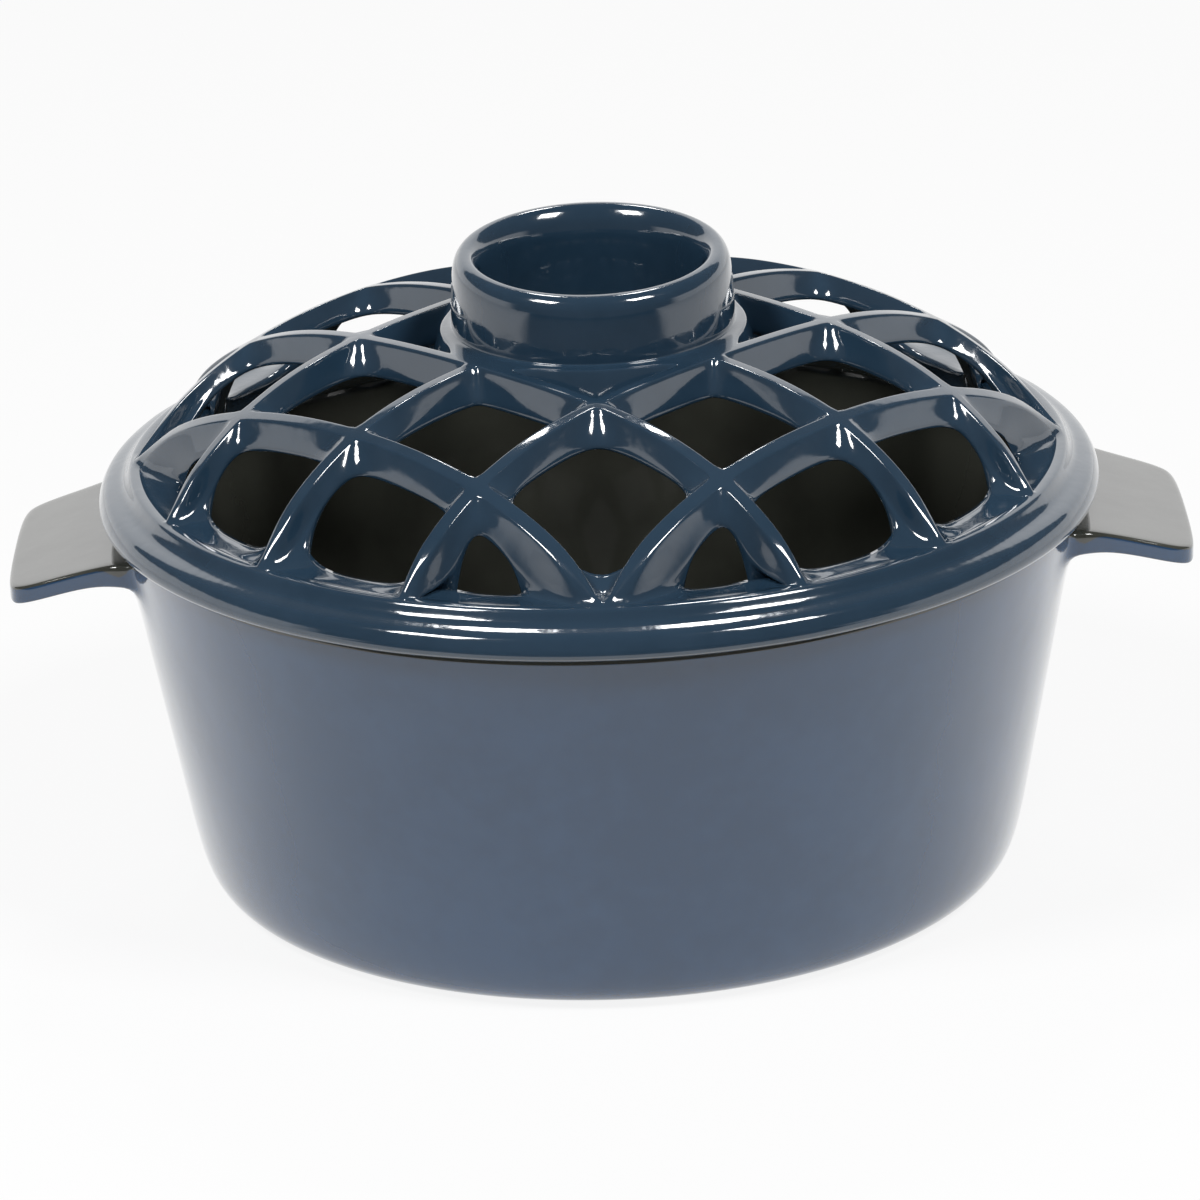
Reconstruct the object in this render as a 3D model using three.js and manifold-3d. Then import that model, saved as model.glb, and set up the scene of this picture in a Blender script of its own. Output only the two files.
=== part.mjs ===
// A stove-top steamer in enamelled cast iron: a tapered round pot with two drooping ears, and a domed lattice lid
// with a flange, crossing ribs and an open collar. Millimetres, +Z up, origin at the middle of the pot's base.
import * as THREE from "three";
import { mergeVertices } from "three/addons/utils/BufferGeometryUtils.js";
import Module from "manifold-3d";

const wasm = await Module();
wasm.setup();

// Pot
const POT_HEIGHT = 96; // base to rim
const RIM_RADIUS = 118; // outside of the wall at the rim
const BASE_RADIUS = 100.4; // outside of the wall, carried straight down to the base plane
const POT_WALL = 4.5;
const POT_FLOOR = 5;
const BASE_CORNER = 8.2; // outside round between the wall and the base
const INNER_CORNER = 12; // inside round between the wall and the floor

// Ears
const EAR_REACH = 26.1; // rim to tip, level
const EAR_ROOT_WIDTH = 65;
const EAR_TIP_WIDTH = 60;
const EAR_THICKNESS = 4.5;
const EAR_CORNER = 9; // round of the tip corners
const EAR_FLARE = 9; // how far each side sweeps out where it meets the wall
const EAR_DROP = 4.1; // rim down to the ear's upper face
const EAR_DROOP = THREE.MathUtils.degToRad(16);
const EAR_EDGE = 1.4; // round of the ear's edges
const EAR_GUSSET = 2.5; // depth of the thickened root under the ear

// Lid, measured up from the face that sits on the rim
const SEAT_GAP = 0.3; // enamel on enamel never closes fully
const LID_CLEARANCE = 1.5; // locating ring to the inside of the wall
const LOCATING_DEPTH = 3.5;
const LOCATING_WALL = 3;
const FLANGE_OVERHANG = 4.1; // flange past the rim
const FLANGE_EDGE_ROUND = 1.8;
const FLANGE_FACE = 2.8; // height of the flange's upright outer face
const SHOULDER_HEIGHT = 5.9; // where the rounded shoulder turns into the sloping top
const SHOULDER_INSET = 2.6;
const RING_HEIGHT = 10.2; // crest of the flange, where the ribs spring
const RING_NECK = 4.5; // width of the steeper band just outside the crest
const RING_NECK_DROP = 3.4;
const RIB_CIRCLE_INSET = 6; // rim to the circle where the ribs spring
const LEDGE_WIDTH = 9.2; // level band inside the crest, as far as the openings
const LEDGE_DROP = 0.9;
const LEDGE_THICKNESS = 5.3;

// Ribs: two crossing families of parallel ribs
const RIBS_EACH_WAY = 5;
const RIB_CREST = 3.5; // width along the top
const RIB_DRAFT = THREE.MathUtils.degToRad(16); // lean of each side, so that the casting leaves its mould
const RIB_DEPTH = 7.4; // crest to underside at the middle of the lid
const RIB_BURIED = 2; // how far a rib runs into the flange
const DOME_RISE = 31.9;
const DOME_FLATNESS = 4; // exponent on the radius: higher is flatter on top
const DOME_FULLNESS = 0.9; // exponent on the height: lower is steeper at the edge
const HOLLOW_FULLNESS = 0.5; // the same for the hollow under the ribs
const HOLLOW_STEPS = 12;

// Collar
const COLLAR_STAND = 20.8; // top of the lip above the dome
const COLLAR_FOOT_RADIUS = 33.3;
const COLLAR_LIP_RADIUS = 33.9;
const COLLAR_LIP_ROUND = 1.9;
const COLLAR_WALL = 3.6;
const COLLAR_SHELF = 2.6; // width of the level shelf round the collar's foot
const COLLAR_LIP_FALL = 5; // how much lower the lip is at the front than at the back

// Smoothness of the round forms
const TURNS = 64;
const ROUND_STEPS = 5;
const RIB_STATIONS = 14;

// Sizes that follow from these
const SEAT_HEIGHT = POT_HEIGHT + SEAT_GAP;
const RIB_CIRCLE = RIM_RADIUS - RIB_CIRCLE_INSET;
const FLANGE_RADIUS = RIM_RADIUS + FLANGE_OVERHANG;
const LEDGE_EDGE = RIB_CIRCLE - LEDGE_WIDTH;
const LEDGE_HEIGHT = RING_HEIGHT - LEDGE_DROP;
const LEDGE_UNDERSIDE = LEDGE_HEIGHT - LEDGE_THICKNESS;
const LOCATING_RADIUS = RIM_RADIUS - POT_WALL - LID_CLEARANCE;
const RIB_PITCH = (Math.SQRT2 * RIB_CIRCLE) / (RIBS_EACH_WAY - 1);
const DOME_TOP = RING_HEIGHT + DOME_RISE;
const HOLLOW_RISE = DOME_TOP - RIB_DEPTH - LEDGE_HEIGHT;
const LID_TOP = DOME_TOP + COLLAR_STAND;

const blueEnamel = new THREE.MeshStandardMaterial({ color: 0x1f3a5c, roughness: 0.12, metalness: 0 });

// A closed geometry as a solid for joining and cutting.
function solid(geometry) {
  const bare = new THREE.BufferGeometry();
  bare.setAttribute("position", geometry.getAttribute("position"));
  bare.setIndex(geometry.index);
  const merged = mergeVertices(bare, 1e-4);
  const corners = merged.index.array;
  const kept = [];
  for (let i = 0; i < corners.length; i += 3) {
    const [a, b, c] = corners.slice(i, i + 3);
    if (a !== b && b !== c && c !== a) kept.push(a, b, c);
  }
  return new wasm.Manifold(
    new wasm.Mesh({
      numProp: 3,
      vertProperties: merged.getAttribute("position").array,
      triVerts: new Uint32Array(kept),
    }),
  );
}

function mesh(name, body, material) {
  const { vertProperties, triVerts } = body.getMesh();
  const geometry = new THREE.BufferGeometry();
  geometry.setAttribute("position", new THREE.BufferAttribute(vertProperties, 3));
  geometry.setIndex(new THREE.BufferAttribute(triVerts, 1));
  geometry.computeVertexNormals();
  const made = new THREE.Mesh(geometry, material);
  made.name = name;
  return made;
}

// A turned form from [radius, height] points that start and end on the axis, or close on themselves.
function lathed(profile) {
  const points = profile.map(([radius, height]) => new THREE.Vector2(radius, height));
  return new THREE.LatheGeometry(points, TURNS).rotateX(Math.PI / 2);
}

function turned(profile) {
  return solid(lathed(profile));
}

// Points along an arc of a [radius, height] profile, both ends included.
function arc(centre, radius, from, to, steps = ROUND_STEPS) {
  return Array.from({ length: steps + 1 }, (_, i) => {
    const angle = from + ((to - from) * i) / steps;
    return [centre[0] + radius * Math.cos(angle), centre[1] + radius * Math.sin(angle)];
  });
}

// A closed solid skinned over rings of points that all have the same count, with a fan at each end.
function skinned(rings) {
  const count = rings[0].length;
  const positions = rings.flat().flatMap((p) => [p.x, p.y, p.z]);
  const faces = [];
  for (let i = 0; i + 1 < rings.length; i++) {
    for (let j = 0; j < count; j++) {
      const a = i * count + j;
      const b = i * count + ((j + 1) % count);
      faces.push(a, b, b + count, a, b + count, a + count);
    }
  }
  for (const [ring, first, flip] of [
    [rings[0], 0, true],
    [rings.at(-1), (rings.length - 1) * count, false],
  ]) {
    const middle = ring.reduce((sum, p) => sum.add(p), new THREE.Vector3()).divideScalar(count);
    const centre = positions.length / 3;
    positions.push(middle.x, middle.y, middle.z);
    for (let j = 0; j < count; j++) {
      const a = first + j;
      const b = first + ((j + 1) % count);
      faces.push(...(flip ? [centre, b, a] : [centre, a, b]));
    }
  }
  const geometry = new THREE.BufferGeometry();
  geometry.setAttribute("position", new THREE.Float32BufferAttribute(positions, 3));
  geometry.setIndex(faces);
  return solid(geometry);
}

// The pot's side is a straight taper. A round of the given radius joins it to a level floor.
function taperedProfile(floorHeight, floorRadius, corner, topRadius, topHeight) {
  const lean = Math.atan2(topRadius - floorRadius, topHeight - floorHeight);
  const tangent = corner / Math.tan((Math.PI / 2 + lean) / 2);
  const centre = [floorRadius - tangent, floorHeight + corner];
  return [
    [0, floorHeight],
    ...arc(centre, corner, -Math.PI / 2, -lean),
    [topRadius, topHeight],
    [0, topHeight],
  ];
}

function wallRadius(height) {
  return BASE_RADIUS + ((RIM_RADIUS - BASE_RADIUS) * height) / POT_HEIGHT;
}

// One ear, pointing along +X: a plate with rounded corners that droops outwards from just under the rim.
function ear() {
  const length = EAR_REACH / Math.cos(EAR_DROOP);
  const rootHalf = EAR_ROOT_WIDTH / 2;
  const tipHalf = EAR_TIP_WIDTH / 2;
  const buried = -(RIM_RADIUS - Math.sqrt(RIM_RADIUS ** 2 - (rootHalf + EAR_FLARE) ** 2)) - POT_WALL;
  const shape = new THREE.Shape();
  shape.moveTo(buried, -rootHalf - EAR_FLARE);
  shape.quadraticCurveTo(0, -rootHalf, EAR_FLARE, -rootHalf + EAR_EDGE);
  shape.lineTo(length - EAR_CORNER, -tipHalf);
  shape.quadraticCurveTo(length, -tipHalf, length, -tipHalf + EAR_CORNER);
  shape.lineTo(length, tipHalf - EAR_CORNER);
  shape.quadraticCurveTo(length, tipHalf, length - EAR_CORNER, tipHalf);
  shape.lineTo(EAR_FLARE, rootHalf - EAR_EDGE);
  shape.quadraticCurveTo(0, rootHalf, buried, rootHalf + EAR_FLARE);
  shape.closePath();
  const plate = new THREE.ExtrudeGeometry(shape, {
    depth: EAR_THICKNESS - 2 * EAR_EDGE,
    bevelEnabled: true,
    bevelThickness: EAR_EDGE,
    bevelSize: EAR_EDGE,
    bevelOffset: -EAR_EDGE,
    bevelSegments: 2,
    curveSegments: ROUND_STEPS,
  });
  plate.translate(0, 0, EAR_EDGE - EAR_THICKNESS);
  plate.rotateY(EAR_DROOP);
  plate.translate(RIM_RADIUS, 0, POT_HEIGHT - EAR_DROP);
  return plate;
}

// The thickened root under an ear: a wedge whose underside sweeps from the ear down onto the wall.
function gusset() {
  const top = POT_HEIGHT - EAR_DROP - EAR_THICKNESS / 2;
  const under = POT_HEIGHT - EAR_DROP - EAR_THICKNESS;
  const inside = wallRadius(under) - POT_WALL;
  const shape = new THREE.Shape();
  shape.moveTo(inside, top);
  shape.lineTo(inside, under - EAR_GUSSET);
  shape.lineTo(wallRadius(under - EAR_GUSSET), under - EAR_GUSSET);
  shape.quadraticCurveTo(RIM_RADIUS, under, RIM_RADIUS + EAR_GUSSET, under - EAR_GUSSET * Math.tan(EAR_DROOP));
  shape.lineTo(RIM_RADIUS + EAR_GUSSET, top - EAR_GUSSET * Math.tan(EAR_DROOP));
  shape.closePath();
  const width = EAR_ROOT_WIDTH - 2 * EAR_EDGE;
  const wedge = new THREE.ExtrudeGeometry(shape, {
    depth: width,
    bevelEnabled: false,
    curveSegments: ROUND_STEPS,
  });
  return wedge.rotateX(Math.PI / 2).translate(0, width / 2, 0);
}

function pot() {
  const outside = taperedProfile(0, BASE_RADIUS, BASE_CORNER, RIM_RADIUS, POT_HEIGHT);
  const aboveRim = POT_HEIGHT + POT_WALL;
  const floorInside = wallRadius(POT_FLOOR) - POT_WALL;
  const mouthInside = wallRadius(aboveRim) - POT_WALL;
  const inside = taperedProfile(POT_FLOOR, floorInside, INNER_CORNER, mouthInside, aboveRim);
  let body = turned(outside);
  for (const turn of [0, Math.PI]) {
    body = body.add(solid(ear().rotateZ(turn)));
    body = body.add(solid(gusset().rotateZ(turn)));
  }
  return mesh("pot", body.subtract(turned(inside)), blueEnamel);
}

// Height of the rib crests over the seat, at a distance from the lid's axis.
function domeHeight(radius) {
  const share = Math.min(radius / RIB_CIRCLE, 1);
  return RING_HEIGHT + DOME_RISE * (1 - share ** DOME_FLATNESS) ** DOME_FULLNESS;
}

// The flange, its inner ledge and the locating ring under it.
function flange() {
  const round = FLANGE_EDGE_ROUND;
  return turned([
    [FLANGE_RADIUS - round, 0],
    [FLANGE_RADIUS, round],
    [FLANGE_RADIUS, FLANGE_FACE],
    [FLANGE_RADIUS - SHOULDER_INSET / 3, (FLANGE_FACE + 2 * SHOULDER_HEIGHT) / 3],
    [FLANGE_RADIUS - SHOULDER_INSET, SHOULDER_HEIGHT],
    [RIB_CIRCLE + RING_NECK, RING_HEIGHT - RING_NECK_DROP],
    [RIB_CIRCLE, RING_HEIGHT],
    [LEDGE_EDGE, LEDGE_HEIGHT],
    [LEDGE_EDGE, LEDGE_UNDERSIDE],
    [LOCATING_RADIUS - LOCATING_WALL, LEDGE_UNDERSIDE],
    [LOCATING_RADIUS - LOCATING_WALL, -LOCATING_DEPTH],
    [LOCATING_RADIUS, -LOCATING_DEPTH],
    [LOCATING_RADIUS, 0],
    [FLANGE_RADIUS - round, 0],
  ]);
}

// One rib at a distance from the axis, running along X. Its crest follows the dome, and its sides lean out at the
// draft angle as they go down to the ledge.
function rib(offset) {
  const end = Math.sqrt(RIB_CIRCLE ** 2 - offset ** 2);
  const foot = LEDGE_HEIGHT - LEDGE_THICKNESS / 2;
  const crest = [[-end - RIB_BURIED, RING_HEIGHT - RIB_BURIED]];
  for (let i = 0; i <= RIB_STATIONS; i++) {
    const along = -end * Math.cos((Math.PI * i) / RIB_STATIONS);
    crest.push([along, domeHeight(Math.hypot(along, offset))]);
  }
  crest.push([end + RIB_BURIED, RING_HEIGHT - RIB_BURIED]);
  const rings = crest.map(([along, top]) => {
    const topHalf = RIB_CREST / 2;
    const footHalf = topHalf + (top - foot) * Math.tan(RIB_DRAFT);
    return [
      new THREE.Vector3(along, offset - topHalf, top),
      new THREE.Vector3(along, offset - footHalf, foot),
      new THREE.Vector3(along, offset + footHalf, foot),
      new THREE.Vector3(along, offset + topHalf, top),
    ];
  });
  return skinned(rings);
}

// The hollow under the ribs: a dome that ends in an upright wall at the ledge's inner edge.
function hollow() {
  const dome = Array.from({ length: HOLLOW_STEPS + 1 }, (_, i) => {
    const share = Math.cos((Math.PI / 2) * (i / HOLLOW_STEPS)) ** (2 / DOME_FLATNESS);
    const height = LEDGE_HEIGHT + HOLLOW_RISE * (1 - share ** DOME_FLATNESS) ** HOLLOW_FULLNESS;
    return [LEDGE_EDGE * share, height];
  });
  dome[HOLLOW_STEPS][0] = 0;
  return turned([[0, -LOCATING_DEPTH], [LEDGE_EDGE, -LOCATING_DEPTH], ...dome]);
}

// The collar's foot is level and its lip isn't, so each point above the foot comes down by its share of the fall.
// The lid is turned by an eighth when it is seated, so the back lies along the diagonal here.
function sloped(geometry) {
  const places = geometry.getAttribute("position");
  for (let i = 0; i < places.count; i++) {
    const rise = Math.max((places.getZ(i) - DOME_TOP) / COLLAR_STAND, 0);
    const back = (places.getX(i) + places.getY(i)) / Math.SQRT2 / COLLAR_LIP_RADIUS;
    places.setZ(i, places.getZ(i) - (COLLAR_LIP_FALL * rise * (1 - back)) / 2);
  }
  return geometry;
}

// The collar's outside as a plug: a drafted skirt among the ribs, a level shelf, the wall and the round lip.
function collarPlug() {
  const lip = [COLLAR_LIP_RADIUS - COLLAR_LIP_ROUND, LID_TOP - COLLAR_LIP_ROUND];
  const shelf = COLLAR_FOOT_RADIUS + COLLAR_SHELF;
  const skirtDepth = 2 * RIB_DEPTH;
  const outline = lathed([
    [0, DOME_TOP - skirtDepth],
    [shelf + skirtDepth * Math.tan(RIB_DRAFT), DOME_TOP - skirtDepth],
    [shelf, DOME_TOP],
    [COLLAR_FOOT_RADIUS, DOME_TOP],
    ...arc(lip, COLLAR_LIP_ROUND, 0, Math.PI / 2),
    [0, LID_TOP],
  ]);
  return solid(sloped(outline));
}

// The collar's bore, from under the ribs to above the lip, with its mouth rounded outwards.
function collarBore() {
  const foot = COLLAR_FOOT_RADIUS - COLLAR_WALL;
  const lip = [COLLAR_LIP_RADIUS - COLLAR_LIP_ROUND, LID_TOP - COLLAR_LIP_ROUND];
  const outline = lathed([
    [0, DOME_TOP - 2 * RIB_DEPTH],
    [foot, DOME_TOP - 2 * RIB_DEPTH],
    [foot, DOME_TOP - RIB_DEPTH],
    ...arc(lip, COLLAR_LIP_ROUND, Math.PI, Math.PI / 2),
    [lip[0], LID_TOP + COLLAR_LIP_ROUND],
    [0, LID_TOP + COLLAR_LIP_ROUND],
  ]);
  return solid(sloped(outline));
}

function latticeLid() {
  const middle = (RIBS_EACH_WAY - 1) / 2;
  const offsets = Array.from({ length: RIBS_EACH_WAY }, (_, i) => (i - middle) * RIB_PITCH);
  let lattice = collarPlug();
  for (const offset of offsets) {
    const one = rib(offset);
    lattice = lattice.add(one).add(one.rotate([0, 0, 90]));
  }
  const body = lattice.subtract(hollow()).subtract(collarBore()).add(flange());
  const lid = mesh("lattice_lid", body, blueEnamel);
  lid.rotation.z = Math.PI / 4;
  lid.position.z = SEAT_HEIGHT;
  return lid;
}

const steamer = new THREE.Group();
steamer.add(pot(), latticeLid());
export default steamer;
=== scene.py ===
# %% [markdown]
# # An enamelled cast-iron steamer
#
# The real object is two iron castings under a coat of glass: a tapered pot with two drooping
# ears, and a domed lattice lid with an open collar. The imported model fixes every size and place,
# so it is loaded first and left as it is. This lesson then models the two castings again as
# smooth surfaces, with the soft edges that melted enamel leaves, and gives them glossy coats.

# %% Load the frame
import math

import bmesh
import bpy
from mathutils import Matrix, Vector


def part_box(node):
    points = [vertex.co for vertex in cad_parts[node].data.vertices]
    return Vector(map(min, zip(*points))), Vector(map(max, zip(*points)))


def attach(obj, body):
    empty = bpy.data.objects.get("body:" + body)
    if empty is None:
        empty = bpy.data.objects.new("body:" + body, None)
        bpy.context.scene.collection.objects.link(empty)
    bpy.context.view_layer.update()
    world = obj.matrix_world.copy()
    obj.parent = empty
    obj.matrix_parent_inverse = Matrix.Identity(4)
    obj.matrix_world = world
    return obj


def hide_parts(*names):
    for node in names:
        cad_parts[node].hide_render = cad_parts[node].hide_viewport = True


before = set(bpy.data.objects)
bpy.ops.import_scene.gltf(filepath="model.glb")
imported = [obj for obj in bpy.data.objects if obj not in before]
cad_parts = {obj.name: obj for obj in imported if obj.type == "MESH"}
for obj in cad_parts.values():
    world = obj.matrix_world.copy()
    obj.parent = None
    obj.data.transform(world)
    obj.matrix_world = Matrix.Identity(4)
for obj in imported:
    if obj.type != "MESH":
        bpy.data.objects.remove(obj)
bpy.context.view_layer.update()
pot_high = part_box("pot")[1]
lid_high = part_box("lattice_lid")[1]
MM = 0.001

# %% [markdown]
# ## The camera
#
# A match starts with the camera: once it stands where the photographer's did, every difference
# that is left is one of shape or finish. This one was found by fitting the rim, the collar and
# the rib crossings, so it is a long lens, a metre and a half away, a little above the object and
# turned very slightly.

# %% Camera
PHOTO_SIDE = 1200
FOCAL_PIXELS = 6314.2
SENSOR = 36.0
CAMERA_DISTANCE = 1.5543
CAMERA_ELEVATION = math.radians(20.48)
CAMERA_ROLL = math.radians(1.97)
CAMERA_TARGET = Vector((-0.7, 0, 66.1)) * MM


def make_camera():
    back = Vector((0, -math.cos(CAMERA_ELEVATION), math.sin(CAMERA_ELEVATION)))
    level_right = Vector((1, 0, 0))
    level_up = back.cross(level_right)
    right = level_right * math.cos(CAMERA_ROLL) - level_up * math.sin(CAMERA_ROLL)
    up = level_right * math.sin(CAMERA_ROLL) + level_up * math.cos(CAMERA_ROLL)
    data = bpy.data.cameras.new("photo_camera")
    data.sensor_width = SENSOR
    data.lens = SENSOR * FOCAL_PIXELS / PHOTO_SIDE
    camera = bpy.data.objects.new("photo_camera", data)
    turn = Matrix((right, up, back)).transposed().to_4x4()
    camera.matrix_world = Matrix.Translation(CAMERA_TARGET + back * CAMERA_DISTANCE) @ turn
    bpy.context.scene.collection.objects.link(camera)
    bpy.context.scene.camera = camera
    return camera


camera = make_camera()
print("camera: lens", round(camera.data.lens, 1), "mm")

# %% [markdown]
# ## Helpers for modelling as by hand
#
# Operators work on what is selected, so most steps are the same three: choose faces, edges or
# vertices by their place, run one operator, and set the new points down where the drawing wants
# them.

# %% Modelling helpers
UP = Vector((0, 0, 1))
NEAR = 0.1 * MM
WELD = 0.01 * MM


def across(point):
    """Distance of a point from the upright axis through the origin."""
    return math.hypot(point.x, point.y)


def start(add_primitive, name, **settings):
    """Add a primitive with nothing else selected and open it for editing."""
    bpy.ops.object.select_all(action="DESELECT")
    add_primitive(**settings)
    piece = bpy.context.object
    piece.name = name
    piece.data.name = name
    bpy.ops.object.mode_set(mode="EDIT")
    return piece


def edited():
    return bmesh.from_edit_mesh(bpy.context.object.data)


def choose(kind, rule):
    """Select the vertices, edges or faces that a rule accepts, and say how many there are."""
    bpy.ops.mesh.select_mode(type=kind)
    bpy.ops.mesh.select_all(action="DESELECT")
    mesh = edited()
    parts = {"VERT": mesh.verts, "EDGE": mesh.edges, "FACE": mesh.faces}[kind]
    chosen = [part for part in parts if rule(part)]
    for part in chosen:
        part.select_set(True)
    mesh.select_flush_mode()
    bmesh.update_edit_mesh(bpy.context.object.data)
    return len(chosen)


def choose_all(kind="VERT"):
    bpy.ops.mesh.select_mode(type=kind)
    bpy.ops.mesh.select_all(action="SELECT")


def put(rule, place):
    """Move every vertex that a rule accepts to the place worked out from its old one."""
    mesh = edited()
    for vertex in mesh.verts:
        if rule(vertex):
            vertex.co = place(vertex.co.copy())
    bmesh.update_edit_mesh(bpy.context.object.data)


def extrude_to(place):
    """Extrude what is selected, and set each new vertex down where the drawing wants it."""
    bpy.ops.mesh.extrude_region_move(TRANSFORM_OT_translate={"value": (0, 0, 0)})
    put(lambda vertex: vertex.select, place)


def at_radius(point, radius, height):
    """The point at a new distance from the axis and a new height, with its bearing kept."""
    scale = radius / across(point)
    return Vector((point.x * scale, point.y * scale, height))


def close_up():
    """Merge doubles and turn every face outwards."""
    choose_all()
    bpy.ops.mesh.remove_doubles(threshold=WELD)
    bpy.ops.mesh.normals_make_consistent(inside=False)


def smooth(piece, levels=2):
    """Leave edit mode, subdivide the cage and apply the result."""
    bpy.ops.object.mode_set(mode="OBJECT")
    rounding = piece.modifiers.new("rounding", "SUBSURF")
    rounding.levels = levels
    rounding.render_levels = levels
    bpy.ops.object.modifier_apply(modifier=rounding.name)
    bpy.ops.object.shade_smooth()
    triangles = sum(len(face.vertices) - 2 for face in piece.data.polygons)
    print(piece.name, "has", triangles, "triangles")
    return piece


print("modelling helpers ready")

# %% [markdown]
# ## The pot
#
# The pot is turned: one outline, spun round the axis, makes the base, the tapered wall, the
# rounded rim and the inside. It could be cut from a cone with booleans, but a spun cage of quads
# lets one subdivision round every edge in the way that enamel does. The outline is drawn by
# extruding a single vertex from point to point.

# %% Spin the pot
POT_HEIGHT = pot_high.z
RIM_RADIUS = pot_high.y
BASE_RADIUS = RIM_RADIUS - 17.6 * MM
POT_WALL = 4.5 * MM
POT_FLOOR = 5 * MM
BASE_CORNER = 8.2 * MM
INNER_CORNER = 12 * MM
CORNER_POINT = (0.2, 0.22)
RIM_ROUND = 1.3 * MM
EAR_TOP = POT_HEIGHT - 4.1 * MM
EAR_ROOT = 7.4 * MM
EAR_EDGE = 1.3 * MM
BLACK_LINE = POT_HEIGHT - 1.8 * MM
BLACK_BLEND = 0.5 * MM
POT_SECTORS = 64
BASE_RINGS = [0.45 * BASE_RADIUS, 0.8 * BASE_RADIUS]
OUTSIDE_ROWS = [0.24 * POT_HEIGHT, 0.46 * POT_HEIGHT, 0.68 * POT_HEIGHT]
INSIDE_ROWS = [POT_HEIGHT - RIM_ROUND, 0.85 * POT_HEIGHT, 0.55 * POT_HEIGHT, 0.3 * POT_HEIGHT]


def wall_radius(height):
    return BASE_RADIUS + (RIM_RADIUS - BASE_RADIUS) * height / POT_HEIGHT


def wall_points(heights, depth=0):
    return [(wall_radius(height) - depth, height) for height in heights]


def corner(radius, height, size):
    """Three outline points that round a corner between a level floor and the leaning wall."""
    inside, above = CORNER_POINT
    depth = wall_radius(height) - radius
    middle = (radius - inside * size, height + above * size)
    return [(radius - size, height), middle] + wall_points([height + size], depth)


def pot_outline():
    outside = [(0, 0)] + [(ring, 0) for ring in BASE_RINGS]
    outside += corner(BASE_RADIUS, 0, BASE_CORNER)
    outside += wall_points(OUTSIDE_ROWS)
    ear_bottom = EAR_TOP - EAR_ROOT
    outside += wall_points([ear_bottom, ear_bottom + EAR_EDGE, EAR_TOP - EAR_EDGE, EAR_TOP])
    outside += wall_points([BLACK_LINE - BLACK_BLEND, BLACK_LINE + BLACK_BLEND])
    rim_inside = RIM_RADIUS - POT_WALL + RIM_ROUND
    rim = [(RIM_RADIUS - RIM_ROUND, POT_HEIGHT), (rim_inside, POT_HEIGHT)]
    inside = wall_points(INSIDE_ROWS, POT_WALL)
    inside += corner(wall_radius(POT_FLOOR) - POT_WALL, POT_FLOOR, INNER_CORNER)[::-1]
    inside += [(BASE_RINGS[0], POT_FLOOR), (0, POT_FLOOR)]
    return outside + rim + inside


def spin_pot():
    pot = start(bpy.ops.mesh.primitive_plane_add, "pot_enamel", size=MM)
    choose_all()
    bpy.ops.mesh.merge(type="CENTER")
    points = [Vector((radius, 0, height)) for radius, height in pot_outline()]
    for before, after in zip(points, points[1:]):
        bpy.ops.mesh.extrude_region_move(TRANSFORM_OT_translate={"value": after - before})
    choose_all()
    bpy.ops.mesh.spin(steps=POT_SECTORS, angle=math.tau, center=(0, 0, 0), axis=(0, 0, 1))
    close_up()
    return pot


pot = spin_pot()
print("pot cage:", len(edited().faces), "faces")

# %% [markdown]
# ## The ears
#
# Each ear is cast on, so it has to grow out of the wall without a seam. It is pulled from the
# wall's own faces in six extrusions. The first two make the sweep where the ear meets the wall,
# the next two the drooping plate, and the last two its round corners. Rows close to the edges
# keep the upper face flat up to a small round.

# %% Pull the ears
EAR_DROOP = math.tan(math.radians(16))
EAR_COLUMNS = 3
EAR_ROWS = 4
SECTOR = math.tau / POT_SECTORS
EAR_STEPS = [
    # in mm: thickness, then reach and half width of the columns from the middle to the side
    (6.2, [(120.2, 0), (119.6, 12.0), (117.6, 30.6), (115.6, 35.4)]),
    (4.9, [(122.6, 0), (122.3, 12.5), (121.6, 31.4), (121.1, 33.2)]),
    (4.5, [(127.4, 0), (127.4, 13.0), (127.4, 30.4), (127.4, 31.9)]),
    (4.5, [(135.4, 0), (135.4, 13.0), (135.4, 29.6), (135.4, 31.1)]),
    (4.5, [(142.6, 0), (142.6, 12.0), (140.6, 27.4), (139.0, 30.4)]),
    (4.5, [(143.8, 0), (143.8, 11.0), (143.4, 24.8), (141.7, 28.6)]),
]


def ear_top(reach):
    return EAR_TOP - (reach - RIM_RADIUS) * EAR_DROOP


def is_ear_root(face):
    middle = face.calc_center_median()
    in_band = EAR_TOP - EAR_ROOT < middle.z < EAR_TOP
    outside = across(middle) > wall_radius(middle.z) - 0.5 * POT_WALL
    bearing = math.atan2(abs(middle.y), abs(middle.x))
    return in_band and outside and bearing < EAR_COLUMNS * SECTOR


def chosen_columns(mesh):
    """The chosen vertices, sorted into upright columns across each ear, from the top down."""
    columns = {}
    for right in (False, True):
        chosen = [vertex for vertex in mesh.verts
                  if vertex.select and (vertex.co.x > 0) == right]
        chosen.sort(key=lambda vertex: vertex.co.y)
        for number in range(2 * EAR_COLUMNS + 1):
            members = chosen[number * EAR_ROWS:(number + 1) * EAR_ROWS]
            members.sort(key=lambda vertex: -vertex.co.z)
            columns[(right, number - EAR_COLUMNS)] = members
    return columns


def pull_ears():
    choose("FACE", is_ear_root)
    for thickness, columns in EAR_STEPS:
        bpy.ops.mesh.extrude_region_move(TRANSFORM_OT_translate={"value": (0, 0, 0)})
        drops = [0, EAR_EDGE, thickness * MM - EAR_EDGE, thickness * MM]
        mesh = edited()
        for (right, column), members in chosen_columns(mesh).items():
            reach, aside = columns[abs(column)]
            x = (reach if right else -reach) * MM
            y = math.copysign(aside, column) * MM
            for drop, vertex in zip(drops, members):
                vertex.co = (x, y, ear_top(reach * MM) - drop)
        bmesh.update_edit_mesh(bpy.context.object.data)


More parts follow.
